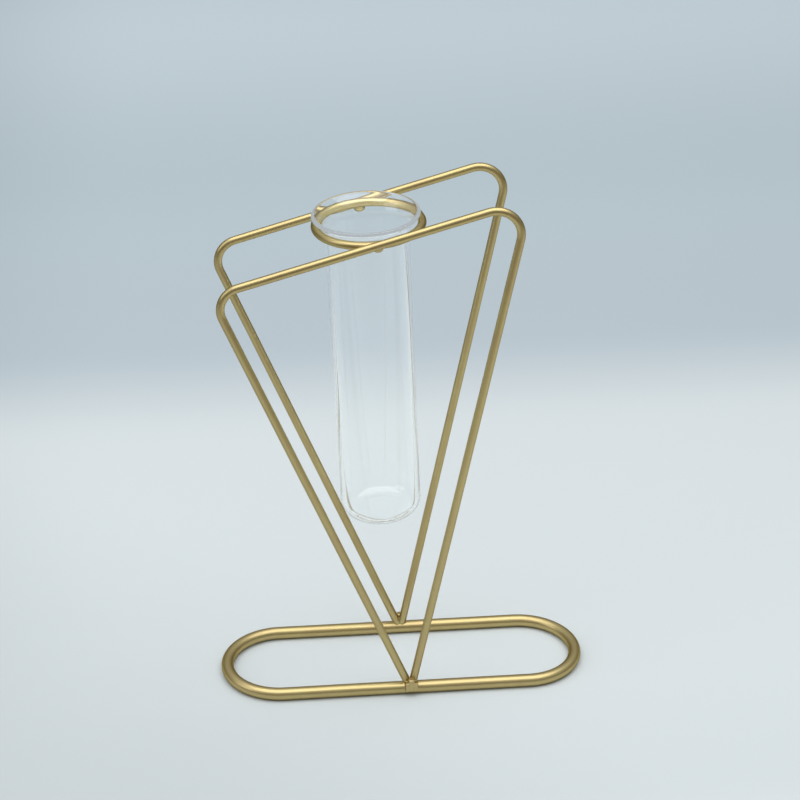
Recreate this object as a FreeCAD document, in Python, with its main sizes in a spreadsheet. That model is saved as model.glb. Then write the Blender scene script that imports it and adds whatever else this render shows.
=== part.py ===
# Test tube vase: a glass tube with a flared lip hangs in a wire ring, and the
# ring is welded between two bent wire frames that stand on a closed rod loop.
# Millimetres and degrees. +Z is up, +X is to the right seen from the front,
# and the origin is the middle of the loop's footprint on the table.
import FreeCAD, Part
import math
import os

import Sketcher
from FreeCAD import Vector

doc = FreeCAD.newDocument("test_tube_vase")

# Driving dimensions
SIZES = {
    # base loop
    "rod_dia": 4.8,
    "loop_length": 140.8,
    # wire frames, given by the points where their straight lines would meet
    "wire_dia": 3.0,
    "frame_out": 0.9,
    "foot_x": 1.4,
    "foot_z": 1.4,
    "left_corner_x": 68.1,
    "left_corner_z": 168.5,
    "right_corner_x": 41.3,
    "right_corner_z": 199.8,
    "left_bend": 8.5,
    "right_bend": 9.0,
    "leg_end_drop": 1.5,
    # ring, which sits a little out of level
    "ring_x": 12.1,
    "ring_room": 2.3,
    "ring_gap": 0.0,
    "ring_side_angle": 2.6,
    "ring_back_angle": 1.9,
    # weld beads under the ring
    "bead_drop": 1.5,
    "bead_shift": 2.2,
    "front_bead_dia": 3.0,
    "front_bead_height": 2.8,
    "front_bead_round": 0.9,
    "rear_bead_dia": 3.8,
    "rear_bead_height": 3.2,
    "rear_bead_round": 1.1,
    # pegs and weld metal at the feet
    "peg_dia": 3.0,
    "peg_out": 2.2,
    "peg_low": 2.2,
    "peg_top": 7.4,
    "peg_round": 0.3,
    "weld_width": 5.0,
    "weld_depth": 2.4,
    "weld_height": 5.0,
    "weld_round": 0.9,
    "weld_out": 1.1,
    "weld_low": 1.6,
    # glass tube
    "tube_dia": 30.0,
    "tube_wall": 1.5,
    "tube_drop": 117.8,
    "tube_shift": 0.8,
    "bottom_bend": 6.0,
    "flare_bend": 8.4,
    "flare_angle": 45.0,
    "lip_reach": 0.4,
    "lip_clearance": 0.68,
}

# The tube sets the ring, the ring sets the frames and the frames set the loop.
# The middle of the ring is level with the two top bars where it meets them, and
# the frames lean outward, so they are wider apart there than at the table.
FOLLOWING = {
    "ring_radius": "=tube_dia / 2 + ring_room + wire_dia / 2",
    "frame_y": "=ring_radius + wire_dia + ring_gap",
    "rod_y": "=frame_y - frame_out",
    "lip_radius": "=ring_radius + lip_reach",
    "bar_slope": "=(right_corner_z - left_corner_z) / (right_corner_x + left_corner_x)",
    "ring_z": "=left_corner_z + (left_corner_x - ring_x) * bar_slope",
    "frame_lean": "=atan(frame_out / ring_z)",
}

sheet = doc.addObject("Spreadsheet::Sheet", "sizes")
for row, (name, content) in enumerate([*SIZES.items(), *FOLLOWING.items()], start=1):
    sheet.set("A%d" % row, name)
    sheet.set("B%d" % row, str(content))
    sheet.setAlias("B%d" % row, name)
    doc.recompute()


def size(name):
    """The number that the sheet holds under this name."""
    return float(sheet.get(name))


def origin_plane(body, role):
    """One of the body's own origin planes."""
    return next(item for item in body.Origin.OriginFeatures if item.Role == role)


def new_sketch(body, name, role, depth=None):
    """A sketch on an origin plane, moved along the plane's normal by an expression."""
    sketch = body.newObject("Sketcher::SketchObject", name)
    sketch.AttachmentSupport = [(origin_plane(body, role), "")]
    sketch.MapMode = "FlatFace"
    if depth:
        sketch.setExpression("AttachmentOffset.Base.z", depth)
    return sketch


def bind(sketch, kind, *where, to):
    """Adds a constraint whose datum follows an expression of the sheet."""
    index = sketch.addConstraint(Sketcher.Constraint(kind, *where))
    sketch.setExpression("Constraints[%d]" % index, to)


def tie(sketch, kind, *where):
    """Adds a constraint that has no datum."""
    sketch.addConstraint(Sketcher.Constraint(kind, *where))


def arc(center, radius, start, end):
    """An arc of a sketch between two angles in radians, counterclockwise."""
    circle = Part.Circle(center, Vector(0, 0, 1), radius)
    return Part.ArcOfCircle(circle, start, end)


# The sketcher counts the points of an element and its own axes in this order
START, END, CENTER = range(1, 4)
Z_AXIS, X_AXIS = range(-2, 0)
ORIGIN = (X_AXIS, START)


def round_profile(body, name, path, edge, diameter):
    """A round section square to an edge of the path, at its start."""
    profile = body.newObject("Sketcher::SketchObject", name)
    profile.AttachmentSupport = [(path, edge)]
    profile.MapMode = "NormalToEdge"
    profile.addGeometry(Part.Circle(Vector(0, 0, 0), Vector(0, 0, 1), size(diameter) / 2))
    tie(profile, "Coincident", 0, CENTER, *ORIGIN)
    bind(profile, "Diameter", 0, size(diameter), to="sizes." + diameter)
    return profile


def pipe(body, name, path, first, last, diameter):
    """Sweeps a round section along the path, from its first to its last edge here."""
    edges = ["Edge%d" % number for number in range(first, last + 1)]
    profile = round_profile(body, name + "_section", path, edges[0], diameter)
    doc.recompute()
    sweep = body.newObject("PartDesign::AdditivePipe", name)
    sweep.Profile = profile
    sweep.Spine = (path, edges)
    body.Tip = sweep
    doc.recompute()


# Base loop: one rod bent to a stadium and lying flat on the table
def make_base_loop():
    body = doc.addObject("PartDesign::Body", "base_loop")
    path = new_sketch(body, "loop_path", "XY_Plane", "sizes.rod_dia / 2")
    radius = size("rod_y")
    half = (size("loop_length") - size("rod_dia")) / 2 - radius
    quarter = math.pi / 2
    path.addGeometry([
        Part.LineSegment(Vector(0, -radius), Vector(half, -radius)),
        arc(Vector(half, 0), radius, -quarter, quarter),
        Part.LineSegment(Vector(half, radius), Vector(-half, radius)),
        arc(Vector(-half, 0), radius, quarter, 3 * quarter),
        Part.LineSegment(Vector(-half, -radius), Vector(0, -radius)),
    ])
    tie(path, "Tangent", 0, END, 1, START)
    tie(path, "Tangent", 1, END, 2, START)
    tie(path, "Tangent", 2, END, 3, START)
    tie(path, "Tangent", 3, END, 4, START)
    tie(path, "Coincident", 4, END, 0, START)
    tie(path, "PointOnObject", 0, START, Z_AXIS)
    tie(path, "PointOnObject", 1, CENTER, X_AXIS)
    tie(path, "Horizontal", 0)
    tie(path, "Horizontal", 2)
    tie(path, "Symmetric", 1, CENTER, 3, CENTER, *ORIGIN)
    bind(path, "Radius", 1, radius, to="sizes.rod_y")
    between_centers = "sizes.loop_length - sizes.rod_dia - 2 * sizes.rod_y"
    bind(path, "DistanceX", 3, CENTER, 1, CENTER, 2 * half, to=between_centers)
    pipe(body, "loop_rod", path, 1, 5, "rod_dia")
    body.Label = "base_loop"
    return body


def corner_arc(corner, before, after, radius):
    """Where a bend of this radius meets its two straight runs, and its center."""
    to_before = (before - corner).normalize()
    to_after = (after - corner).normalize()
    half = to_before.getAngle(to_after) / 2
    middle = (to_before + to_after).normalize()
    reach = radius / math.tan(half)
    return corner + to_before * reach, corner + middle * (radius / math.sin(half)), corner + to_after * reach


# Wire frames: one wire bent twice, with both ends standing on the rod. The two
# legs run into each other at the foot, so each half is swept by itself.
FRAME_PLACE = "placement(vector(0; %ssizes.rod_y; 0); rotation(0; 0; %ssizes.frame_lean))"

def make_frame_wire(name, side, lean):
    body = doc.addObject("PartDesign::Body", name + "_wire")
    body.setExpression("Placement", FRAME_PLACE % (side, lean))
    path = new_sketch(body, name + "_path", "XZ_Plane")
    foot = Vector(size("foot_x"), size("foot_z"))
    left = Vector(-size("left_corner_x"), size("left_corner_z"))
    right = Vector(size("right_corner_x"), size("right_corner_z"))
    middle = Vector(-size("ring_x"), size("ring_z"))
    end_height = size("rod_dia") - size("leg_end_drop")
    left_end = foot + (left - foot) * ((end_height - foot.y) / (left.y - foot.y))
    right_end = foot + (right - foot) * ((end_height - foot.y) / (right.y - foot.y))
    left_in, left_center, left_out = corner_arc(left, foot, right, size("left_bend"))
    right_in, right_center, right_out = corner_arc(right, left, foot, size("right_bend"))

    def bend(center, before, after, radius):
        first = math.atan2(after.y - center.y, after.x - center.x)
        last = math.atan2(before.y - center.y, before.x - center.x)
        return arc(center, radius, first, last)

    path.addGeometry([
        Part.LineSegment(left_end, left_in),
        bend(left_center, left_in, left_out, size("left_bend")),
        Part.LineSegment(left_out, middle),
        Part.LineSegment(middle, right_in),
        bend(right_center, right_in, right_out, size("right_bend")),
        Part.LineSegment(right_out, right_end),
    ])
    path.addGeometry([Part.Point(foot), Part.Point(left), Part.Point(right)], True)
    # The wire runs clockwise and the arcs counterclockwise, so their ends swap
    tie(path, "Tangent", 0, END, 1, END)
    tie(path, "Tangent", 1, START, 2, START)
    tie(path, "Tangent", 2, END, 3, START)
    tie(path, "Tangent", 3, END, 4, END)
    tie(path, "Tangent", 4, START, 5, START)
    for point, first, second in ((6, 0, 5), (7, 0, 2), (8, 3, 5)):
        tie(path, "PointOnObject", point, START, first)
        tie(path, "PointOnObject", point, START, second)
    bind(path, "DistanceX", *ORIGIN, 6, START, foot.x, to="sizes.foot_x")
    bind(path, "DistanceY", *ORIGIN, 6, START, foot.y, to="sizes.foot_z")
    bind(path, "DistanceX", 7, START, *ORIGIN, -left.x, to="sizes.left_corner_x")
    bind(path, "DistanceY", *ORIGIN, 7, START, left.y, to="sizes.left_corner_z")
    bind(path, "DistanceX", *ORIGIN, 8, START, right.x, to="sizes.right_corner_x")
    bind(path, "DistanceY", *ORIGIN, 8, START, right.y, to="sizes.right_corner_z")
    bind(path, "DistanceX", 2, END, *ORIGIN, -middle.x, to="sizes.ring_x")
    bind(path, "Radius", 1, size("left_bend"), to="sizes.left_bend")
    bind(path, "Radius", 4, size("right_bend"), to="sizes.right_bend")
    bind(path, "DistanceY", *ORIGIN, 0, START, end_height, to="sizes.rod_dia - sizes.leg_end_drop")
    bind(path, "DistanceY", *ORIGIN, 5, END, end_height, to="sizes.rod_dia - sizes.leg_end_drop")
    pipe(body, name + "_left_half", path, 1, 3, "wire_dia")
    pipe(body, name + "_right_half", path, 4, 6, "wire_dia")
    return body


def cut_to_fit(name, blank, neighbours):
    """The blank with its neighbours' shapes taken out of it."""
    fitted = doc.addObject("Part::Cut", name)
    fitted.Base = blank
    if len(neighbours) == 1:
        fitted.Tool = neighbours[0]
    else:
        joined = doc.addObject("Part::MultiFuse", name + "_neighbours")
        joined.Shapes = neighbours
        fitted.Tool = joined
    fitted.Label = name
    doc.recompute()
    return fitted


# Ring: a wire hoop between the two frames, with room for the tube in it
RING_PLACE = ("placement(vector(%s; 0; sizes.ring_z); "
              "rotation(0; -sizes.ring_side_angle; sizes.ring_back_angle))")

def make_ring():
    body = doc.addObject("PartDesign::Body", "tube_ring")
    section = new_sketch(body, "ring_section", "XZ_Plane")
    section.addGeometry(Part.Circle(Vector(size("ring_radius"), 0), Vector(0, 0, 1), size("wire_dia") / 2))
    tie(section, "PointOnObject", 0, CENTER, X_AXIS)
    bind(section, "DistanceX", *ORIGIN, 0, CENTER, size("ring_radius"), to="sizes.ring_radius")
    bind(section, "Diameter", 0, size("wire_dia"), to="sizes.wire_dia")
    hoop = body.newObject("PartDesign::Revolution", "ring_hoop")
    hoop.Profile = section
    hoop.ReferenceAxis = (section, ["V_Axis"])
    hoop.Angle = 360
    body.Tip = hoop
    body.setExpression("Placement", RING_PLACE % "-sizes.ring_x")
    body.Label = "tube_ring"
    doc.recompute()
    return body


# Glass tube: turned about the ring's axis, with z = 0 in the ring's middle plane
def make_glass_tube():
    body = doc.addObject("PartDesign::Body", "glass_tube")
    section = new_sketch(body, "tube_section", "XZ_Plane")
    outer = size("tube_dia") / 2
    wall = size("tube_wall")
    inner = outer - wall
    drop = size("tube_drop")
    bottom = size("bottom_bend")
    flare = size("flare_bend")
    angle = math.radians(size("flare_angle"))
    lip = size("lip_radius")
    # The straight part of the flare passes the ring's wire at the lip clearance
    reach = size("wire_dia") / 2 + size("lip_clearance")
    along = Vector(math.sin(angle), math.cos(angle))
    inward = Vector(-math.cos(angle), math.sin(angle))
    touch = Vector(size("ring_radius"), 0) + inward * reach
    flare_center_x = outer + flare
    flare_end_x = flare_center_x + inward.x * flare
    flare_end = touch + along * ((flare_end_x - touch.x) / along.x)
    flare_center = flare_end - inward * flare
    rim_x = lip - wall / 2
    rim_center = flare_end + inward * (wall / 2)
    rim_center = rim_center + along * ((rim_x - rim_center.x) / along.x)
    rim_low = rim_center - inward * (wall / 2)
    rim_high = rim_center + inward * (wall / 2)
    inner_flare = flare_center + inward * (flare + wall)
    bottom_center = Vector(outer - bottom, bottom - drop)
    half_turn = math.pi
    quarter = math.pi / 2
    section.addGeometry([
        Part.LineSegment(Vector(0, -drop), Vector(outer - bottom, -drop)),
        arc(bottom_center, bottom, -quarter, 0),
        Part.LineSegment(Vector(outer, bottom - drop), Vector(outer, flare_center.y)),
        arc(flare_center, flare, half_turn - angle, half_turn),
        Part.LineSegment(flare_end, rim_low),
        arc(rim_center, wall / 2, -angle, half_turn - angle),
        Part.LineSegment(rim_high, inner_flare),
        arc(flare_center, flare + wall, half_turn - angle, half_turn),
        Part.LineSegment(Vector(inner, flare_center.y), Vector(inner, bottom - drop)),
        arc(bottom_center, bottom - wall, -quarter, 0),
        Part.LineSegment(Vector(outer - bottom, wall - drop), Vector(0, wall - drop)),
        Part.LineSegment(Vector(0, wall - drop), Vector(0, -drop)),
    ])
    tie(section, "Tangent", 0, END, 1, START)
    tie(section, "Tangent", 1, END, 2, START)
    tie(section, "Tangent", 2, END, 3, END)
    tie(section, "Tangent", 3, START, 4, START)
    tie(section, "Tangent", 4, END, 5, START)
    tie(section, "Tangent", 5, END, 6, START)
    tie(section, "Tangent", 6, END, 7, START)
    tie(section, "Tangent", 7, END, 8, START)
    tie(section, "Tangent", 8, END, 9, END)
    tie(section, "Tangent", 9, START, 10, START)
    tie(section, "Coincident", 10, END, 11, START)
    tie(section, "Coincident", 11, END, 0, START)
    tie(section, "Horizontal", 0)
    tie(section, "Vertical", 2)
    tie(section, "Parallel", 4, 6)
    tie(section, "PointOnObject", 0, START, Z_AXIS)
    tie(section, "PointOnObject", 10, END, Z_AXIS)
    tie(section, "Coincident", 3, CENTER, 7, CENTER)
    tie(section, "Coincident", 1, CENTER, 9, CENTER)
    bind(section, "DistanceY", 0, START, *ORIGIN, drop, to="sizes.tube_drop")
    bind(section, "DistanceX", *ORIGIN, 2, START, outer, to="sizes.tube_dia / 2")
    bind(section, "DistanceX", 8, START, 2, END, wall, to="sizes.tube_wall")
    bind(section, "Radius", 1, bottom, to="sizes.bottom_bend")
    bind(section, "Radius", 3, flare, to="sizes.flare_bend")
    bind(section, "Angle", X_AXIS, START, 4, START, quarter - angle, to="90 - sizes.flare_angle")
    bind(section, "DistanceX", *ORIGIN, 5, CENTER, rim_x, to="sizes.lip_radius - sizes.tube_wall / 2")
    ring_wire = section.addGeometry(Part.Point(Vector(size("ring_radius"), 0)), True)
    tie(section, "PointOnObject", ring_wire, START, X_AXIS)
    bind(section, "DistanceX", *ORIGIN, ring_wire, START, size("ring_radius"), to="sizes.ring_radius")
    bind(section, "Distance", ring_wire, START, 4, reach, to="sizes.wire_dia / 2 + sizes.lip_clearance")
    turned = body.newObject("PartDesign::Revolution", "tube_turned")
    turned.Profile = section
    turned.ReferenceAxis = (section, ["V_Axis"])
    turned.Angle = 360
    body.Tip = turned
    body.setExpression("Placement", RING_PLACE % "-sizes.ring_x - sizes.tube_shift")
    body.Label = "glass_tube"
    doc.recompute()
    return body


# Pegs and weld beads: upright pellets with rounded ends, cut to their neighbours
def make_pellet(name, diameter, height, rounding, place, neighbours):
    body = doc.addObject("PartDesign::Body", name + "_blank")
    section = new_sketch(body, name + "_section", "XY_Plane")
    section.addGeometry(Part.Circle(Vector(0, 0), Vector(0, 0, 1), size(diameter) / 2))
    tie(section, "Coincident", 0, CENTER, *ORIGIN)
    bind(section, "Diameter", 0, size(diameter), to="sizes." + diameter)
    stem = body.newObject("PartDesign::Pad", name + "_stem")
    stem.Profile = section
    stem.setExpression("Length", height)
    body.Tip = stem
    doc.recompute()
    rounded = body.newObject("PartDesign::Fillet", name + "_rounded")
    rounded.Base = (stem, round_edges(stem.Shape))
    rounded.setExpression("Radius", "sizes." + rounding)
    body.Tip = rounded
    for axis, expression in zip("xyz", place):
        body.setExpression("Placement.Base." + axis, expression)
    doc.recompute()
    return cut_to_fit(name, body, neighbours)


def round_edges(shape):
    """The names of a shape's circular edges."""
    return ["Edge%d" % number for number, edge in enumerate(shape.Edges, start=1)
            if isinstance(edge.Curve, Part.Circle)]


# Pegs: short ends of wire that stand on the outer side of each foot
def make_peg(name, sign, neighbours):
    place = ("sizes.foot_x", "%s(sizes.rod_y + sizes.peg_out)" % sign, "sizes.peg_low")
    return make_pellet(name, "peg_dia", "sizes.peg_top - sizes.peg_low", "peg_round", place, neighbours)


# Weld beads that hang in the groove between the ring and each top bar
def make_ring_weld(name, sign, along, bead, neighbours):
    bar_height = "sizes.left_corner_z + (%s + sizes.left_corner_x) * sizes.bar_slope" % along
    depth = "%s(sizes.frame_y - sizes.wire_dia / 2)" % sign
    low = "%s - sizes.bead_drop - sizes.%s_height / 2" % (bar_height, bead)
    place = (along, depth, low)
    return make_pellet(name, bead + "_dia", "sizes.%s_height" % bead, bead + "_round", place, neighbours)


# Weld metal in front of each peg: a rounded block that laps over the rod
def make_foot_weld(name, side, neighbours):
    body = doc.addObject("PartDesign::Body", name + "_blank")
    block = body.newObject("PartDesign::AdditiveBox", name + "_block")
    block.setExpression("Length", "sizes.weld_width")
    block.setExpression("Width", "sizes.weld_depth")
    block.setExpression("Height", "sizes.weld_height")
    body.Tip = block
    doc.recompute()
    rounding = body.newObject("PartDesign::Fillet", name + "_rounding")
    rounding.Base = (block, [""])
    rounding.UseAllEdges = True
    rounding.setExpression("Radius", "sizes.weld_round")
    body.Tip = rounding
    body.setExpression("Placement.Base.x", "sizes.foot_x - sizes.weld_width / 2")
    if side > 0:
        body.setExpression("Placement.Base.y", "sizes.rod_y + sizes.weld_out")
    else:
        body.setExpression("Placement.Base.y", "-sizes.rod_y - sizes.weld_out - sizes.weld_depth")
    body.setExpression("Placement.Base.z", "sizes.weld_low")
    doc.recompute()
    return cut_to_fit(name, body, neighbours)


base_loop = make_base_loop()
front_wire = make_frame_wire("front_frame", "-", "")
rear_wire = make_frame_wire("rear_frame", "", "-")
front_frame = cut_to_fit("front_frame", front_wire, [base_loop])
rear_frame = cut_to_fit("rear_frame", rear_wire, [base_loop])
tube_ring = make_ring()
glass_tube = make_glass_tube()
front_foot_peg = make_peg("front_foot_peg", "-", [base_loop, front_frame])
rear_foot_peg = make_peg("rear_foot_peg", "", [base_loop, rear_frame])
front_foot_weld = make_foot_weld("front_foot_weld", -1, [base_loop, front_frame, front_foot_peg])
rear_foot_weld = make_foot_weld("rear_foot_weld", 1, [base_loop, rear_frame, rear_foot_peg])
front_ring_weld = make_ring_weld(
    "front_ring_weld", "-", "(-sizes.ring_x + sizes.bead_shift)", "front_bead", [front_frame, tube_ring])
rear_ring_weld = make_ring_weld(
    "rear_ring_weld", "", "(-sizes.ring_x - sizes.bead_shift)", "rear_bead", [rear_frame, tube_ring])

doc.recompute()

pieces = [
    base_loop,
    front_frame,
    rear_frame,
    tube_ring,
    glass_tube,
    front_foot_peg,
    rear_foot_peg,
    front_foot_weld,
    rear_foot_weld,
    front_ring_weld,
    rear_ring_weld,
]

# Nothing is written unless the whole document is sound
for item in doc.Objects:
    if "Invalid" in item.State or "Error" in item.State:
        raise RuntimeError("%s did not build: %s" % (item.Name, item.State))
for piece in pieces:
    if piece.Shape.isNull() or not piece.Shape.isValid():
        raise RuntimeError("%s has no sound shape" % piece.Label)

os.makedirs("parts", exist_ok=True)
for piece in pieces:
    piece.Shape.exportStep("parts/%s.step" % piece.Label)
    box = piece.Shape.BoundBox
    print("%-16s %9.2f mm3, %d solid, z %.2f to %.2f" % (
        piece.Label, piece.Shape.Volume, len(piece.Shape.Solids), box.ZMin, box.ZMax))
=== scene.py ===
# %% [markdown]
# # A glass tube in a stand of bent wire
# This lesson gives a small vase its looks. A clear test tube hangs in a wire ring, the ring is welded between two bent wire frames, and the frames stand on a closed loop of thicker rod. The exact model of the part is loaded first: it fixes every size, and each piece made below lies on it.

import math

import bmesh
import bpy
from mathutils import Matrix, Vector


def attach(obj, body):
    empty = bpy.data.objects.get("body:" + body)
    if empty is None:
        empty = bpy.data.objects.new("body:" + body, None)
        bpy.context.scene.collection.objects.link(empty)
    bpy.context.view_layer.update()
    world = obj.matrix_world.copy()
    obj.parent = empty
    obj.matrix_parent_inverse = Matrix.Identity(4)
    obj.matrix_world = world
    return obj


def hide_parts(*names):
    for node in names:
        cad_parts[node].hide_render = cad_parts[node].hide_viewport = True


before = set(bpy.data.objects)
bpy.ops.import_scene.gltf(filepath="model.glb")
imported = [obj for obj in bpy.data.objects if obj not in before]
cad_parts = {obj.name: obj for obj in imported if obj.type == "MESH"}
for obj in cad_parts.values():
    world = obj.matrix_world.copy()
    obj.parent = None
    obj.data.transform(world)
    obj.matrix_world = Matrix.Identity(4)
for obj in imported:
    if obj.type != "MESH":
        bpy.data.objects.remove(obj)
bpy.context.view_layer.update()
MM = 0.001
print("nodes of the exact model:", len(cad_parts))

# %% [markdown]
# ## Camera
# The object is seen from the front, a little from its left and from well above. A long lens a good way off keeps its upright lines nearly parallel. The camera's place is given as the point that it looks at, two angles and a distance, because those are easy to read off a picture, and the small roll levels it.

# %% Camera
LOOK_AT = Vector((-0.935, 0, 114.753)) * MM
CAMERA_AZIMUTH = math.radians(-5.707)
CAMERA_ELEVATION = math.radians(26.862)
CAMERA_DISTANCE = 736.2 * MM
CAMERA_ROLL = math.radians(0.1)
LENS_MM = 90.5

backward = Vector((
    math.sin(CAMERA_AZIMUTH) * math.cos(CAMERA_ELEVATION),
    -math.cos(CAMERA_AZIMUTH) * math.cos(CAMERA_ELEVATION),
    math.sin(CAMERA_ELEVATION),
))
camera = bpy.data.objects.new("camera", bpy.data.cameras.new("camera"))
bpy.context.scene.collection.objects.link(camera)
camera.data.lens = LENS_MM
camera.data.sensor_width = 36
turned = (-backward).to_track_quat("-Z", "Y").to_matrix().to_4x4()
camera.matrix_world = (
    Matrix.Translation(LOOK_AT + backward * CAMERA_DISTANCE)
    @ turned
    @ Matrix.Rotation(CAMERA_ROLL, 4, "Z")
)
bpy.context.scene.camera = camera
bpy.context.scene.view_settings.view_transform = "Standard"
print("camera at", [round(v, 3) for v in camera.matrix_world.translation])

# %% [markdown]
# ## Node helpers
# Materials and the wire tree are both made of nodes. Two small helpers keep the lesson short: one puts a node into a tree and sets its inputs by name, the other joins an output to an input.

# %% Node helpers
def add_node(tree, kind, inputs=None, **settings):
    node = tree.nodes.new(kind)
    for key, value in settings.items():
        setattr(node, key, value)
    for key, value in (inputs or {}).items():
        if isinstance(value, bpy.types.NodeSocket):
            tree.links.new(value, node.inputs[key])
        else:
            node.inputs[key].default_value = value
    return node


def add_sockets(tree, sockets):
    for side, kind, name, value in sockets:
        socket = tree.interface.new_socket(name=name, in_out=side, socket_type=kind)
        if value is not None:
            socket.default_value = value


# %% [markdown]
# ## Floor
# The vase stands on pale paper that turns into a cooler, darker tone behind it. Built as a real curved sweep, the paper
# would hide the vase from behind, so it is one large flat sheet, and some light and shade are painted into its colour.
# A ramp gives its colour from front to back: painted shade well before the vase, which only the metal mirrors, a
# brighter painted band close in front of the vase, which the legs mirror, the pale paper under it, and behind it a
# cooler tone darkened with painted shade where a studio's paper would begin to rise. Two fainter changes paint shade on
# its near left corner and its far left side.

# %% Floor
# Painted light and shade in this ramp: the dark stop far in front and the bright stop at -0.16 are painted for the
# metal to mirror, the stops from -0.085 to 0.19 are the paper's own pale colour, and the stops behind are its cooler
# tone darkened with painted shade.
PAPER_WITH_PAINTED_LIGHT = [
    (-0.55, (0.40, 0.38, 0.29, 1)),
    (-0.16, (0.80, 0.83, 0.83, 1)),
    (-0.085, (0.645, 0.69, 0.70, 1)),
    (0.0, (0.67, 0.715, 0.725, 1)),
    (0.19, (0.67, 0.715, 0.725, 1)),
    (0.30, (0.49, 0.555, 0.60, 1)),
    (0.50, (0.51, 0.59, 0.635, 1)),
    (0.95, (0.70, 0.79, 0.85, 1)),
]
PAPER_FROM = -0.6
PAPER_TO = 1.0
# Painted shade for the floor's near left corner and far left side.
NEAR_LEFT_PAINTED_SHADE = (0.87, 0.875, 0.88, 1)
FAR_LEFT_PAINTED_SHADE = (0.81, 0.82, 0.82, 1)
FLOOR_HALF = 4.0

floor_mesh = bpy.data.meshes.new("floor")
floor_corners = [(-1, -1), (1, -1), (1, 1), (-1, 1)]
floor_points = [(x * FLOOR_HALF, y * FLOOR_HALF, 0) for x, y in floor_corners]
floor_mesh.from_pydata(floor_points, [], [(0, 1, 2, 3)])
floor = bpy.data.objects.new("floor", floor_mesh)
bpy.context.scene.collection.objects.link(floor)

paper = bpy.data.materials.new("paper")
paper.use_nodes = True
tree = paper.node_tree
shader = tree.nodes["Principled BSDF"]
shader.inputs["Roughness"].default_value = 0.85
shader.inputs["Specular IOR Level"].default_value = 0.1
where = add_node(tree, "ShaderNodeTexCoord")
spot = add_node(tree, "ShaderNodeSeparateXYZ", {"Vector": where.outputs["Object"]})
depth = add_node(
    tree, "ShaderNodeMapRange", {"Value": spot.outputs["Y"], "From Min": PAPER_FROM, "From Max": PAPER_TO}
)
tone = add_node(tree, "ShaderNodeValToRGB", {"Fac": depth.outputs["Result"]})
tone.color_ramp.interpolation = "EASE"
while len(tone.color_ramp.elements) < len(PAPER_WITH_PAINTED_LIGHT):
    tone.color_ramp.elements.new(1.0)
for element, (y, colour) in zip(tone.color_ramp.elements, PAPER_WITH_PAINTED_LIGHT):
    element.position = (y - PAPER_FROM) / (PAPER_TO - PAPER_FROM)
    element.color = colour
diagonal = add_node(tree, "ShaderNodeMath", {0: spot.outputs["X"], 1: spot.outputs["Y"]})
colour = tone.outputs["Color"]
# Painted shade: these two multiplies darken the near left corner and the far left side of the floor.
for value, begins, ends, darker in (
    (diagonal.outputs[0], 0.04, -0.2, NEAR_LEFT_PAINTED_SHADE),
    (spot.outputs["X"], -0.11, -0.32, FAR_LEFT_PAINTED_SHADE),
):
    share = add_node(
        tree, "ShaderNodeMapRange", {"Value": value, "From Min": begins, "From Max": ends},
        interpolation_type="SMOOTHSTEP",
    )
    dimmed = add_node(
        tree, "ShaderNodeMix", {0: share.outputs["Result"], 6: colour, 7: darker},
        data_type="RGBA", blend_type="MULTIPLY",
    )
    colour = dimmed.outputs[2]
tree.links.new(colour, shader.inputs["Base Color"])
floor_mesh.materials.append(paper)
print("floor of", 2 * FLOOR_HALF, "m")

# %% [markdown]
# ## Light
# The wire shows one broad, bright band along its upper side and a dark one at its middle. That is a large soft lamp overhead and a room that is dim at eye level. So there is one big area lamp above and a little in front, a weaker one from the left, and a world that is pale above and dim near the horizon.

# %% Lamps and world
LAMPS = {
    "overhead": ((0.0, -0.15, 1.25), (0, 0.0, 0), (1.75, 1.25), 13.5, (1.0, 1.0, 1.0)),
    "left_fill": ((-1.3, -0.3, 0.8), (0, 0, 0.1), (0.8, 0.8), 2.5, (0.94, 0.97, 1.0)),
}
for name, (place, target, size, power, colour) in LAMPS.items():
    lamp = bpy.data.lights.new(name, "AREA")
    lamp.shape = "RECTANGLE"
    lamp.size, lamp.size_y = size
    lamp.energy = power
    lamp.color = colour
    holder = bpy.data.objects.new(name, lamp)
    holder.location = place
    holder.rotation_euler = (Vector(target) - Vector(place)).to_track_quat("-Z", "Y").to_euler()
    bpy.context.scene.collection.objects.link(holder)

WORLD_LOW = (0.185, 0.155, 0.085, 1)
WORLD_HIGH = (0.50, 0.53, 0.56, 1)
WORLD_SEEN = (0.55, 0.62, 0.66, 1)
world = bpy.data.worlds.new("room")
world.use_nodes = True
bpy.context.scene.world = world
tree = world.node_tree
sky = tree.nodes["Background"]
where = add_node(tree, "ShaderNodeTexCoord")
up = add_node(tree, "ShaderNodeSeparateXYZ", {"Vector": where.outputs["Generated"]})
climb = add_node(
    tree, "ShaderNodeMapRange",
    {"Value": up.outputs["Z"], "From Min": 0.05, "From Max": 0.7},
    interpolation_type="SMOOTHSTEP",
)
room = add_node(
    tree, "ShaderNodeMix", {0: climb.outputs["Result"], 6: WORLD_LOW, 7: WORLD_HIGH}, data_type="RGBA"
)
ray = add_node(tree, "ShaderNodeLightPath")
straight = add_node(
    tree, "ShaderNodeMath",
    {0: ray.outputs["Is Camera Ray"], 1: ray.outputs["Is Transmission Ray"]}, operation="MAXIMUM",
)
seen = add_node(
    tree, "ShaderNodeMix", {0: straight.outputs[0], 6: room.outputs[2], 7: WORLD_SEEN}, data_type="RGBA"
)
tree.links.new(seen.outputs[2], sky.inputs["Color"])
print("lamps:", sorted(LAMPS))

# %% [markdown]
# ## An effect for all plated metal
# The stand is plated in one bath, so its wire, rod and welds share one finish: a satin champagne gold with faint cloudy patches, fine grain and a few tiny pits. A node group with named inputs holds that effect once. It puts out only a colour, a roughness and a height, and each metal sets its own values. It reads Object coordinates, so the pattern stays on the metal.

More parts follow.
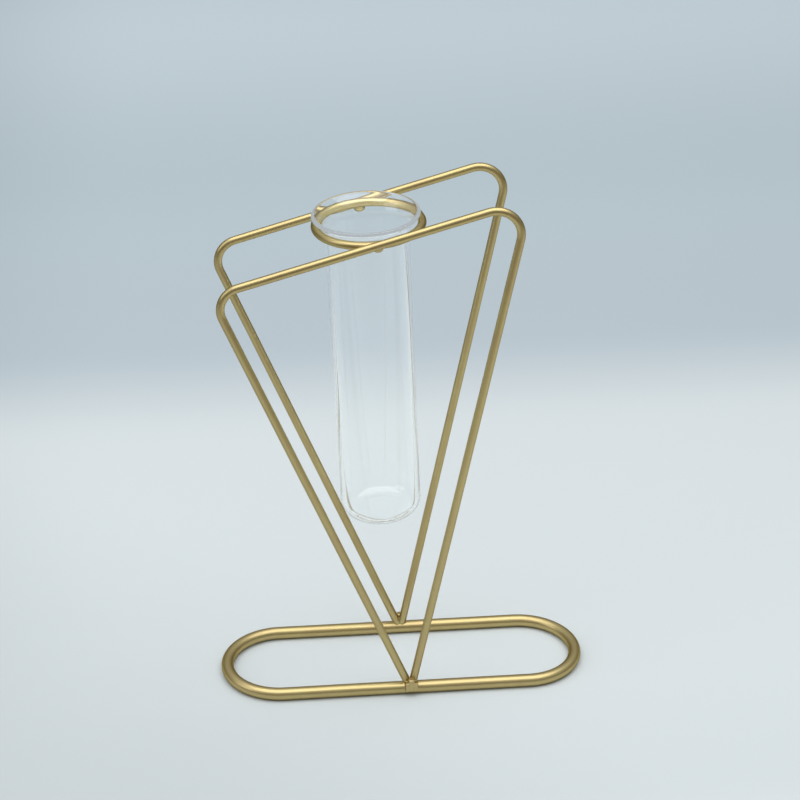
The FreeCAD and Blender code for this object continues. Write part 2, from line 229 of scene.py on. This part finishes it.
# %% Plating group
plating = bpy.data.node_groups.new("satin_plating", "ShaderNodeTree")
add_sockets(plating, [
    ("INPUT", "NodeSocketColor", "Gold", (0.6, 0.47, 0.2, 1)),
    ("INPUT", "NodeSocketColor", "Cloud", (0.5, 0.38, 0.17, 1)),
    ("INPUT", "NodeSocketFloat", "Cloud Size", 90.0),
    ("INPUT", "NodeSocketFloat", "Cloud Amount", 0.6),
    ("INPUT", "NodeSocketFloat", "Grain Size", 2600.0),
    ("INPUT", "NodeSocketFloat", "Roughness", 0.3),
    ("INPUT", "NodeSocketFloat", "Roughness Spread", 0.08),
    ("INPUT", "NodeSocketFloat", "Pit Amount", 0.3),
    ("OUTPUT", "NodeSocketColor", "Color", None),
    ("OUTPUT", "NodeSocketFloat", "Roughness", None),
    ("OUTPUT", "NodeSocketFloat", "Height", None),
])
given = plating.nodes.new("NodeGroupInput").outputs
result = plating.nodes.new("NodeGroupOutput").inputs
where = add_node(plating, "ShaderNodeTexCoord").outputs["Object"]
cloud = add_node(
    plating, "ShaderNodeTexNoise",
    {"Vector": where, "Scale": given["Cloud Size"], "Detail": 3.0, "Roughness": 0.55},
)
cloud_share = add_node(
    plating, "ShaderNodeMapRange",
    {"Value": cloud.outputs["Fac"], "From Min": 0.38, "From Max": 0.68, "To Max": given["Cloud Amount"]},
)
cloudy = add_node(
    plating, "ShaderNodeMix",
    {0: cloud_share.outputs["Result"], 6: given["Gold"], 7: given["Cloud"]}, data_type="RGBA",
)
grain = add_node(
    plating, "ShaderNodeTexNoise",
    {"Vector": where, "Scale": given["Grain Size"], "Detail": 2.0, "Roughness": 0.6},
)
spread = add_node(
    plating, "ShaderNodeMath", {0: grain.outputs["Fac"], 1: given["Roughness Spread"]}, operation="MULTIPLY"
)
rough = add_node(plating, "ShaderNodeMath", {0: spread.outputs[0], 1: given["Roughness"]})
pits = add_node(plating, "ShaderNodeTexVoronoi", {"Vector": where, "Scale": 420.0, "Randomness": 1.0})
pit = add_node(
    plating, "ShaderNodeMapRange",
    {
        "Value": pits.outputs["Distance"], "From Min": 0.04, "From Max": 0.16,
        "To Min": given["Pit Amount"], "To Max": 0.0,
    },
)
height = add_node(
    plating, "ShaderNodeMath", {0: grain.outputs["Fac"], 1: pit.outputs["Result"]}, operation="SUBTRACT"
)
plating.links.new(cloudy.outputs[2], result["Color"])
plating.links.new(rough.outputs[0], result["Roughness"])
plating.links.new(height.outputs[0], result["Height"])
print("group", plating.name, "has", len(plating.nodes), "nodes")

# %% [markdown]
# ## Three metals
# Each metal is its own material. The Principled shader stays in it, with full metallic as a plain number and a dark tint for the edges, where this plating mirrors less than polished gold, and the group feeds its colour, roughness and bump. The thick rod has larger, calmer clouds than the thin wire. Weld metal is rougher and lumpier under the plating.

# %% Metals
GOLD = (0.555, 0.45, 0.21, 1)
GOLD_CLOUD = (0.53, 0.40, 0.20, 1)
EDGE = (0.45, 0.4, 0.3, 1)
GRAIN_HEIGHT = 0.00001
WELD_GRAIN_HEIGHT = 0.00003


def make_metal(name, bump_height, **values):
    metal = bpy.data.materials.new(name)
    metal.use_nodes = True
    tree = metal.node_tree
    shader = tree.nodes["Principled BSDF"]
    shader.inputs["Metallic"].default_value = 1.0
    shader.inputs["Specular Tint"].default_value = EDGE
    effect = add_node(tree, "ShaderNodeGroup", node_tree=plating)
    for key, value in values.items():
        effect.inputs[key.replace("_", " ").title()].default_value = value
    bump = add_node(
        tree, "ShaderNodeBump",
        {"Height": effect.outputs["Height"], "Strength": 1.0, "Distance": bump_height},
    )
    tree.links.new(effect.outputs["Color"], shader.inputs["Base Color"])
    tree.links.new(effect.outputs["Roughness"], shader.inputs["Roughness"])
    tree.links.new(bump.outputs["Normal"], shader.inputs["Normal"])
    return metal


gold_wire = make_metal(
    "gold_wire", GRAIN_HEIGHT, gold=GOLD, cloud=GOLD_CLOUD, cloud_size=110.0, cloud_amount=0.7,
    roughness=0.32,
)
gold_rod = make_metal(
    "gold_rod", GRAIN_HEIGHT, gold=GOLD, cloud=GOLD_CLOUD, cloud_size=60.0, cloud_amount=0.6,
    roughness=0.32,
)
weld_metal = make_metal(
    "weld_metal", WELD_GRAIN_HEIGHT, gold=GOLD, cloud=GOLD_CLOUD, cloud_size=400.0, cloud_amount=0.9,
    grain_size=1500.0, roughness=0.34, pit_amount=0.6,
)
print("metals:", gold_wire.name, gold_rod.name, weld_metal.name)

# %% [markdown]
# ## Clear glass
# Thin lab glass is clear, smooth and almost without colour. It keeps a plain transmission of one. Only its surface is
# not perfect: a very low, slow bump along the wall bends the reflections a little, as in drawn tubing. A painted glow
# stands in for light that runs on inside the wall and comes out of the rim: a ray that has already crossed four
# surfaces picks up a little emitted light at each further one, though the glass is no lamp. The piece casts no shadow,
# because real light goes through it.

# %% Glass
RIM_PAINTED_GLOW = 0.17
SURFACES_BEFORE_PAINTED_GLOW = 3.5
WAVE_SIZE = 130.0
WAVE_STRETCH = 0.12
WAVE_HEIGHT = 0.00012

clear_glass = bpy.data.materials.new("clear_glass")
clear_glass.use_nodes = True
tree = clear_glass.node_tree
shader = tree.nodes["Principled BSDF"]
# The Emission Color is the tint of the painted glow on the rim.
for key, value in {
    "Base Color": (0.99, 0.997, 0.995, 1), "Roughness": 0.01, "IOR": 1.47, "Transmission Weight": 1.0,
    "Specular IOR Level": 0.25, "Emission Color": (0.85, 0.94, 1.0, 1),
}.items():
    shader.inputs[key].default_value = value
# Painted light: emission on the glass for rays past four surfaces, a glow that brightens the rim.
ray = add_node(tree, "ShaderNodeLightPath")
deeper = add_node(
    tree, "ShaderNodeMath", {0: ray.outputs["Ray Depth"], 1: SURFACES_BEFORE_PAINTED_GLOW}, operation="GREATER_THAN"
)
painted_rim_glow = add_node(tree, "ShaderNodeMath", {0: deeper.outputs[0], 1: RIM_PAINTED_GLOW}, operation="MULTIPLY")
tree.links.new(painted_rim_glow.outputs[0], shader.inputs["Emission Strength"])
where = add_node(tree, "ShaderNodeTexCoord").outputs["Object"]
drawn = add_node(tree, "ShaderNodeMapping", {"Vector": where, "Scale": (1.0, 1.0, WAVE_STRETCH)})
wave = add_node(
    tree, "ShaderNodeTexNoise",
    {"Vector": drawn.outputs["Vector"], "Scale": WAVE_SIZE, "Detail": 1.0, "Roughness": 0.4},
)
bump = add_node(
    tree, "ShaderNodeBump", {"Height": wave.outputs["Fac"], "Strength": 1.0, "Distance": WAVE_HEIGHT}
)
tree.links.new(bump.outputs["Normal"], shader.inputs["Normal"])
print("glass:", clear_glass.name)

# %% [markdown]
# ## Bent wire as a Geometry Nodes tree
# The frames, the ring and the rod loop are all wire bent round corners, so one tree makes all four. It takes a polyline of corner points. Each corner has its own bend radius, stored as the attribute bend. The tree rounds the corners, divides the line evenly, shakes it by a few hundredths of a millimetre as hand-bent wire is, narrows the last bit where wire was cut and tumbled, cuts a shallow notch at a seam if one is asked for, and sweeps a circle along it.

# %% Bent wire tree
bent_wire = bpy.data.node_groups.new("bent_wire", "GeometryNodeTree")
add_sockets(bent_wire, [
    ("INPUT", "NodeSocketGeometry", "Path", None),
    ("INPUT", "NodeSocketFloat", "Wire Diameter", 0.003),
    ("INPUT", "NodeSocketFloat", "Step", 0.0006),
    ("INPUT", "NodeSocketInt", "Facets", 28),
    ("INPUT", "NodeSocketFloat", "End Rounding", 0.0007),
    ("INPUT", "NodeSocketFloat", "End Share", 0.6),
    ("INPUT", "NodeSocketFloat", "Waviness", 0.00008),
    ("INPUT", "NodeSocketFloat", "Seam At", -1.0),
    ("INPUT", "NodeSocketFloat", "Seam Width", 0.0005),
    ("INPUT", "NodeSocketFloat", "Seam Depth", 0.06),
    ("INPUT", "NodeSocketMaterial", "Finish", None),
    ("OUTPUT", "NodeSocketGeometry", "Wire", None),
])
given = bent_wire.nodes.new("NodeGroupInput").outputs
result = bent_wire.nodes.new("NodeGroupOutput").inputs


def number(operation, a, b=0.0, c=0.0):
    return add_node(bent_wire, "ShaderNodeMath", {0: a, 1: b, 2: c}, operation=operation).outputs[0]


line = add_node(bent_wire, "GeometryNodeMeshToCurve", {"Mesh": given["Path"]})
bend = add_node(bent_wire, "GeometryNodeInputNamedAttribute", {"Name": "bend"}, data_type="FLOAT")
rounded = add_node(
    bent_wire, "GeometryNodeFilletCurve",
    {"Curve": line.outputs[0], "Radius": bend.outputs["Attribute"], "Limit Radius": True, "Count": 40},
    mode="POLY",
)
even = add_node(
    bent_wire, "GeometryNodeResampleCurve",
    {"Curve": rounded.outputs[0], "Length": given["Step"]}, mode="LENGTH",
)
shake = add_node(bent_wire, "ShaderNodeTexNoise", {"Scale": 45.0, "Detail": 1.0})
centred = add_node(
    bent_wire, "ShaderNodeVectorMath", {0: shake.outputs["Color"], 1: (0.5, 0.5, 0.5)}, operation="SUBTRACT"
)
doubled = number("MULTIPLY", given["Waviness"], 2.0)
offset = add_node(
    bent_wire, "ShaderNodeVectorMath", {0: centred.outputs[0], "Scale": doubled}, operation="SCALE"
)
shaken = add_node(
    bent_wire, "GeometryNodeSetPosition", {"Geometry": even.outputs[0], "Offset": offset.outputs[0]}
)

along = add_node(bent_wire, "GeometryNodeSplineParameter").outputs["Length"]
whole = add_node(bent_wire, "GeometryNodeSplineLength").outputs["Length"]
to_end = number("MINIMUM", along, number("SUBTRACT", whole, along))
into_end = number("MINIMUM", number("DIVIDE", to_end, given["End Rounding"]), 1.0)
lack = number("SUBTRACT", 1.0, into_end)
bow = number("SQRT", number("SUBTRACT", 1.0, number("MULTIPLY", lack, lack)))
end_gain = number("MULTIPLY", bow, number("SUBTRACT", 1.0, given["End Share"]))
end_width = number("ADD", given["End Share"], end_gain)
closed = add_node(bent_wire, "GeometryNodeInputSplineCyclic").outputs[0]
open_only = add_node(
    bent_wire, "GeometryNodeSwitch", {"Switch": closed, "False": end_width, "True": 1.0}, input_type="FLOAT"
)
from_seam = number("ABSOLUTE", number("SUBTRACT", along, given["Seam At"]))
into_seam = number("SUBTRACT", 1.0, number("DIVIDE", from_seam, given["Seam Width"]))
seam_share = number("MAXIMUM", into_seam, 0.0)
seam = number("SUBTRACT", 1.0, number("MULTIPLY", seam_share, given["Seam Depth"]))
width = number("MULTIPLY", open_only.outputs[0], seam)
sized = add_node(bent_wire, "GeometryNodeSetCurveRadius", {"Curve": shaken.outputs[0], "Radius": width})
half_diameter = number("MULTIPLY", given["Wire Diameter"], 0.5)
circle = add_node(
    bent_wire, "GeometryNodeCurvePrimitiveCircle",
    {"Resolution": given["Facets"], "Radius": half_diameter}, mode="RADIUS",
)
swept = add_node(
    bent_wire, "GeometryNodeCurveToMesh",
    {"Curve": sized.outputs[0], "Profile Curve": circle.outputs["Curve"], "Fill Caps": True},
)
smooth = add_node(bent_wire, "GeometryNodeSetShadeSmooth", {"Geometry": swept.outputs[0]})
real = add_node(bent_wire, "GeometryNodeRealizeInstances", {"Geometry": smooth.outputs[0]})
finished = add_node(
    bent_wire, "GeometryNodeSetMaterial", {"Geometry": real.outputs[0], "Material": given["Finish"]}
)
bent_wire.links.new(finished.outputs[0], result["Wire"])
print("tree", bent_wire.name, "has", len(bent_wire.nodes), "nodes")

# %% [markdown]
# ## From tree to plain mesh
# A piece made by the tree starts as a small object that holds only the polyline. The modifier's inputs are set by the
# socket's identifier before anything is evaluated. Then the finished mesh is copied out, the start object goes, and a
# plain mesh at the origin is left. The last helper ties a piece to the body that it moves with and hides the node of
# the exact model that it stands for.

# %% Helpers for pieces
def show(name, mesh):
    piece = bpy.data.objects.new(name, mesh)
    bpy.context.scene.collection.objects.link(piece)
    return piece


def plain_mesh(source, name):
    bpy.context.view_layer.update()
    depsgraph = bpy.context.evaluated_depsgraph_get()
    mesh = bpy.data.meshes.new_from_object(source.evaluated_get(depsgraph))
    mesh.name = name
    bpy.data.objects.remove(source)
    return mesh


def bend_wire(name, corners, bends, closed, **values):
    path = bpy.data.meshes.new(name + "_path")
    count = len(corners)
    edges = [(i, (i + 1) % count) for i in range(count if closed else count - 1)]
    path.from_pydata([tuple(Vector(c) * MM) for c in corners], edges, [])
    radii = path.attributes.new("bend", "FLOAT", "POINT")
    radii.data.foreach_set("value", [b * MM for b in bends])
    source = show(name + "_path", path)
    modifier = source.modifiers.new("bent_wire", "NODES")
    modifier.node_group = bent_wire
    names = {s.name: s.identifier for s in bent_wire.interface.items_tree if s.in_out == "INPUT"}
    for key, value in values.items():
        modifier[names[key.replace("_", " ").title()]] = value
    piece = show(name, plain_mesh(source, name))
    print(name, "has", len(piece.data.polygons), "faces")
    return piece


def belongs(piece, body, node):
    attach(piece, body)
    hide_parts(node)


# %% [markdown]
# ## Main sizes
# All sizes of the vase are in millimetres, and MM turns them into metres. The tube sets the ring, the ring sets how far the frames stand apart, and the frames set the width of the rod loop, just as in the exact model. The frames lean outward a little, so they are wider apart at the ring than at the foot.

# %% Main sizes
TUBE_RADIUS = 15.0
WIRE_DIAMETER = 3.0
ROD_DIAMETER = 4.8
RING_ROOM = 2.3
FRAME_OUT = 0.9
RING_RADIUS = TUBE_RADIUS + RING_ROOM + WIRE_DIAMETER / 2
FRAME_Y = RING_RADIUS + WIRE_DIAMETER - FRAME_OUT
print("ring radius", round(RING_RADIUS, 2), "mm, frames at", round(FRAME_Y, 2), "mm from the middle")

# %% [markdown]
# ## Rod loop
# The foot of the vase is a 4.8 mm rod bent to a long loop with round ends, and it lies flat on the table. Its polyline is a rectangle whose corners are bent as far as they go, so that each end becomes a half circle.

# %% Rod loop
LOOP_LENGTH = 140.8
ROD_HALF_LENGTH = (LOOP_LENGTH - ROD_DIAMETER) / 2
loop_corners = [
    (x * ROD_HALF_LENGTH, y * FRAME_Y, ROD_DIAMETER / 2)
    for x, y in ((-1, -1), (1, -1), (1, 1), (-1, 1))
]
base_loop = bend_wire(
    "rod_loop", loop_corners, [FRAME_Y] * 4, True,
    wire_diameter=ROD_DIAMETER * MM, step=0.8 * MM, facets=40, waviness=0.03 * MM, finish=gold_rod,
)
belongs(base_loop, "stand", "base_loop")

# %% [markdown]
# ## Two wire frames
# Each frame is one 3 mm wire with two bends, a tighter one at the low left corner and a wider one at the high right corner. Both ends stand close together on the rod. The places of the foot and of the corners are those where the straight lines of the wire would meet. The two frames are alike, so one function makes both from the same corner points, at the front and at the rear. Only the rear one has a small notch across its top bar.

# %% Frames
FOOT = Vector((1.4, 1.4))
LEFT_CORNER = Vector((-68.1, 168.5))
RIGHT_CORNER = Vector((41.3, 199.8))
LEFT_BEND = 8.5
RIGHT_BEND = 9.0
LEG_END_Z = 4.3
NOTCH_AT = 271.5
NOTCH_DEPTH = 0.12
RING_X = -12.1
BAR_SLOPE = (RIGHT_CORNER.y - LEFT_CORNER.y) / (RIGHT_CORNER.x - LEFT_CORNER.x)


def bar_height(x):
    return LEFT_CORNER.y + (x - LEFT_CORNER.x) * BAR_SLOPE


def on_frame(side, point):
    lean = FRAME_OUT * point.y / bar_height(RING_X)
    return Vector((point.x, side * (FRAME_Y + lean), point.y))


def leg_end(corner):
    share = (LEG_END_Z - FOOT.y) / (corner.y - FOOT.y)
    return FOOT.lerp(corner, share)


def make_frame(name, node, side, **values):
    outline = [leg_end(LEFT_CORNER), LEFT_CORNER, RIGHT_CORNER, leg_end(RIGHT_CORNER)]
    wire = bend_wire(
        name, [on_frame(side, point) for point in outline], [0, LEFT_BEND, RIGHT_BEND, 0], False,
        wire_diameter=WIRE_DIAMETER * MM, waviness=0.05 * MM, finish=gold_wire, **values,
    )
    belongs(wire, "stand", node)


make_frame("wire_frame_front", "front_frame", -1)
make_frame("wire_frame_rear", "rear_frame", 1, seam_at=NOTCH_AT * MM, seam_depth=NOTCH_DEPTH)

# %% [markdown]
# ## Ring
# A hoop of the same wire sits between the two top bars. It leans a little to the left and to the back. Its ends meet in a butt seam next to the rear weld. The polyline is an eight-sided outline whose bends touch, so it comes out as a true circle, and because it starts and ends at the seam the two cut ends show there.

# %% Ring
RING_CENTRE = Vector((RING_X, 0, bar_height(RING_X)))
SIDE_LEAN = math.radians(2.6)
BACK_LEAN = math.radians(1.9)
AXIS = Vector((
    -math.sin(SIDE_LEAN) * math.cos(BACK_LEAN),
    -math.sin(BACK_LEAN),
    math.cos(SIDE_LEAN) * math.cos(BACK_LEAN),
)).normalized()
ACROSS = (Vector((1, 0, 0)) - AXIS * AXIS.x).normalized()
BACK = AXIS.cross(ACROSS)
SEAM_ANGLE = math.radians(95.9)
SIDES = 8


def on_ring(angle, radius=RING_RADIUS):
    return RING_CENTRE + (ACROSS * math.cos(angle) + BACK * math.sin(angle)) * radius


half_side = math.pi / SIDES
corner_angles = [SEAM_ANGLE + half_side * (2 * i + 1) for i in range(SIDES)]
ring_corners = [on_ring(SEAM_ANGLE)]
ring_corners += [on_ring(a, RING_RADIUS / math.cos(half_side)) for a in corner_angles]
ring_corners += [on_ring(SEAM_ANGLE)]
ring = bend_wire(
    "ring", ring_corners, [0] + [RING_RADIUS] * SIDES + [0], False,
    wire_diameter=WIRE_DIAMETER * MM, step=0.35 * MM, waviness=0.02 * MM,
    end_rounding=0.6 * MM, end_share=0.55, finish=gold_wire,
)
belongs(ring, "stand", "tube_ring")

# %% [markdown]
# ## Solid shapes for melted metal
# Pegs and welds are small lumps. They are built from simple solids in one mesh. For a weld, the solids are fused by a fine voxel remesh and then smoothed. Smoothing rounds the outer edges and fills the inner corners, which is what molten metal does between two wires.

# %% Solid shapes
def add_rod(lump, start, end, radius, facets=32):
    start, end = Vector(start) * MM, Vector(end) * MM
    along = end - start
    turn = along.to_track_quat("Z", "Y").to_matrix().to_4x4()
    bmesh.ops.create_cone(
        lump, cap_ends=True, segments=facets, radius1=radius * MM, radius2=radius * MM,
        depth=along.length, matrix=Matrix.Translation((start + end) / 2) @ turn,
    )


def add_ball(lump, centre, radii):
    place = Matrix.Translation(Vector(centre) * MM) @ Matrix.Diagonal([r * MM for r in radii] + [1])
    bmesh.ops.create_icosphere(lump, subdivisions=3, radius=1, matrix=place)


def add_block(lump, low, high):
    low, high = Vector(low) * MM, Vector(high) * MM
    place = Matrix.Translation((low + high) / 2) @ Matrix.Diagonal(list(high - low) + [1])
    bmesh.ops.create_cube(lump, size=1, matrix=place)


def melt(name, lump, voxel, passes):
    mesh = bpy.data.meshes.new(name)
    lump.to_mesh(mesh)
    lump.free()
    source = show(name + "_solids", mesh)
    fuse = source.modifiers.new("fuse", "REMESH")
    fuse.mode = "VOXEL"
    fuse.voxel_size = voxel * MM
    flow = source.modifiers.new("flow", "SMOOTH")
    flow.factor = 0.5
    flow.iterations = passes
    piece = show(name, plain_mesh(source, name))
    piece.data.materials.clear()
    piece.data.materials.append(weld_metal)
    piece.data.polygons.foreach_set("use_smooth", [True] * len(piece.data.polygons))
    print(name, "has", len(piece.data.polygons), "faces")
    return piece


# %% [markdown]
# ## Pegs at the feet
# On the outer side of each foot a short piece of wire stands upright against the two legs. The rim of its top is rounded, so it catches the light as a small bright spot.

# %% Pegs
PEG_X = FOOT.x
PEG_OUT = 2.2
PEG_Y = FRAME_Y + PEG_OUT
PEG_LOW = 2.2
PEG_TOP = 7.4
PEG_ROUND = 0.6


def make_peg(name, node, side):
    lump = bmesh.new()
    add_rod(lump, (PEG_X, side * PEG_Y, PEG_LOW), (PEG_X, side * PEG_Y, PEG_TOP), WIRE_DIAMETER / 2)
    rims = [e for e in lump.edges if any(len(f.verts) > 4 for f in e.link_faces)]
    bmesh.ops.bevel(lump, geom=rims, offset=PEG_ROUND * MM, segments=4, profile=0.5, affect="EDGES")
    mesh = bpy.data.meshes.new(name)
    lump.to_mesh(mesh)
    lump.free()
    mesh.materials.append(gold_wire)
    mesh.polygons.foreach_set("use_smooth", [len(f.vertices) <= 4 for f in mesh.polygons])
    peg = show(name, mesh)
    belongs(peg, "stand", node)
    print(name, "has", len(mesh.polygons), "faces")


make_peg("peg_front", "front_foot_peg", -1)
make_peg("peg_rear", "rear_foot_peg", 1)

# %% [markdown]
# ## Welds at the feet
# Weld metal fills the corner between the peg, the two legs and the rod, and bulges a little from the rod's outer side. The lump holds short stubs of its neighbours, so that after melting its surface runs into theirs without a step.

# %% Foot welds
WELD_FROM_X, WELD_TO_X = -1.0, 3.8
WELD_INNER_Y, WELD_OUTER_Y = 22.0, 24.4
WELD_FROM_Z, WELD_TO_Z = 2.5, 6.0
ROD_STUB_FROM_X, ROD_STUB_TO_X = -3.1, 5.9
ROD_STUB_RADIUS = 2.38
LEG_STUB = 4.0
WIRE_STUB_RADIUS = 1.48


def make_foot_weld(name, node, side):
    lump = bmesh.new()
    near_y, far_y = sorted((side * WELD_INNER_Y, side * WELD_OUTER_Y))
    add_block(lump, (WELD_FROM_X, near_y, WELD_FROM_Z), (WELD_TO_X, far_y, WELD_TO_Z))
    rod_line = (side * FRAME_Y, ROD_DIAMETER / 2)
    add_rod(lump, (ROD_STUB_FROM_X, *rod_line), (ROD_STUB_TO_X, *rod_line), ROD_STUB_RADIUS)
    for corner in (LEFT_CORNER, RIGHT_CORNER):
        low = leg_end(corner)
        high = low + (corner - FOOT).normalized() * LEG_STUB
        add_rod(lump, on_frame(side, low), on_frame(side, high), WIRE_STUB_RADIUS)
    weld = melt(name, lump, voxel=0.14, passes=20)
    belongs(weld, "stand", node)


make_foot_weld("foot_weld_front", "front_foot_weld", -1)
make_foot_weld("foot_weld_rear", "rear_foot_weld", 1)

# %% [markdown]
# ## Weld beads at the ring
# A drop of weld metal joins ring and bar on their lower side, at the front and at the rear. Each drop is a ball fused with short stubs of the ring and of the bar.

# %% Ring beads
BEAD_Y = 20.3
BAR_STUB = 2.5
RING_STUB_RADIUS = 1.47
RING_STUB_TURNS = (-0.13, -0.065, 0, 0.065, 0.13)


def bar_point(side, x):
    return on_frame(side, Vector((x, bar_height(x))))


def make_bead(name, node, side, x, height, radii):
    lump = bmesh.new()
    add_ball(lump, (x, side * BEAD_Y, height), radii)
    add_rod(lump, bar_point(side, x - BAR_STUB), bar_point(side, x + BAR_STUB), WIRE_STUB_RADIUS)
    middle = math.acos((x - RING_CENTRE.x) / RING_RADIUS) * side
    steps = [on_ring(middle + turn) for turn in RING_STUB_TURNS]
    for start, end in zip(steps, steps[1:]):
        add_rod(lump, start, end, RING_STUB_RADIUS)
    bead = melt(name, lump, voxel=0.12, passes=10)
    belongs(bead, "stand", node)


make_bead("ring_bead_front", "front_ring_weld", -1, x=-10.6, height=183.6, radii=(1.9, 1.6, 1.7))
make_bead("ring_bead_rear", "rear_ring_weld", 1, x=-13.9, height=182.8, radii=(2.3, 1.7, 1.6))

# %% [markdown]
# ## Glass tube
# The tube is a turned shape: one closed profile through the wall, swept round the axis. The profile goes up the outer side from the middle of the bottom, over the fire-rounded lip, and down the inner side. Heights are measured along the tube's axis from the middle of the ring. The flare is an arc and then a short straight cone, and the cone passes the ring's wire at a small clearance, so the places of its arc and of its round rim follow from the ring. It is turned in mesh code, because every ring of points is simply the profile at one angle, and then tipped onto the tube's axis.

# %% Glass tube
TUBE_SHIFT = 0.8
TUBE_TOP_CENTRE = RING_CENTRE - Vector((TUBE_SHIFT, 0, 0))
WALL = 1.5
BOTTOM_Z = -117.8
BOTTOM_BEND = 6.0
BOTTOM_EDGE = 2.0
BOTTOM_FLAT = TUBE_RADIUS - BOTTOM_BEND - BOTTOM_EDGE
FLARE_BEND = 8.4
FLARE_ANGLE = 45
LIP_CLEARANCE = 0.68
LIP_REACH = 0.4
TURN_STEPS = 144


def arc_points(centre, radius, start, end, count):
    turns = [math.radians(start + (end - start) * i / count) for i in range(count + 1)]
    return [(centre[0] + radius * math.cos(t), centre[1] + radius * math.sin(t)) for t in turns]


slant = math.radians(FLARE_ANGLE)
along_cone = Vector((math.sin(slant), math.cos(slant)))
off_cone = Vector((-math.cos(slant), math.sin(slant)))


def up_cone(start, radius):
    return start + along_cone * ((radius - start.x) / along_cone.x)


beside_wire = Vector((RING_RADIUS, 0)) + off_cone * (WIRE_DIAMETER / 2 + LIP_CLEARANCE)
cone_start = up_cone(beside_wire, TUBE_RADIUS + FLARE_BEND + off_cone.x * FLARE_BEND)
flare_centre = cone_start - off_cone * FLARE_BEND
rim_centre = up_cone(cone_start + off_cone * (WALL / 2), RING_RADIUS + LIP_REACH - WALL / 2)
bottom_centre = (TUBE_RADIUS - BOTTOM_BEND, BOTTOM_Z + BOTTOM_BEND)
profile = [(0.0, BOTTOM_Z), (BOTTOM_FLAT, BOTTOM_Z)]
profile += arc_points(bottom_centre, BOTTOM_BEND, -90, 0, 16)
profile += [(TUBE_RADIUS, BOTTOM_Z * s) for s in (0.75, 0.5, 0.25)]
profile += arc_points(flare_centre, FLARE_BEND, 180, 180 - FLARE_ANGLE, 10)
profile += arc_points(rim_centre, WALL / 2, -FLARE_ANGLE, 180 - FLARE_ANGLE, 14)
profile += arc_points(flare_centre, FLARE_BEND + WALL, 180 - FLARE_ANGLE, 180, 10)
profile += [(TUBE_RADIUS - WALL, BOTTOM_Z * s) for s in (0.25, 0.5, 0.75)]
profile += arc_points(bottom_centre, BOTTOM_BEND - WALL, 0, -90, 16)
profile += [(BOTTOM_FLAT, BOTTOM_Z + WALL)]
profile += [(0.0, BOTTOM_Z + WALL)]

upright = Matrix((ACROSS, BACK, AXIS)).transposed().to_4x4()
place_tube = Matrix.Translation(TUBE_TOP_CENTRE * MM) @ upright
lump = bmesh.new()
rings = []
for radius, height in profile:
    count = TURN_STEPS if radius > 0 else 1
    turns = [2 * math.pi * i / count for i in range(count)]
    spots = [Vector((radius * math.cos(t), radius * math.sin(t), height)) * MM for t in turns]
    rings.append([lump.verts.new(place_tube @ spot) for spot in spots])
for low, high in zip(rings, rings[1:]):
    for i in range(TURN_STEPS):
        j = (i + 1) % TURN_STEPS
        corners = [low[i % len(low)], low[j % len(low)], high[j % len(high)], high[i % len(high)]]
        lump.faces.new(dict.fromkeys(corners))
bmesh.ops.recalc_face_normals(lump, faces=lump.faces)
tube_mesh = bpy.data.meshes.new("glass_tube_clear")
lump.to_mesh(tube_mesh)
lump.free()
tube_mesh.materials.append(clear_glass)
tube_mesh.polygons.foreach_set("use_smooth", [True] * len(tube_mesh.polygons))
tube = show("glass_tube_clear", tube_mesh)
tube.visible_shadow = False
belongs(tube, "glass", "glass_tube")
print("glass tube has", len(tube_mesh.polygons), "faces")
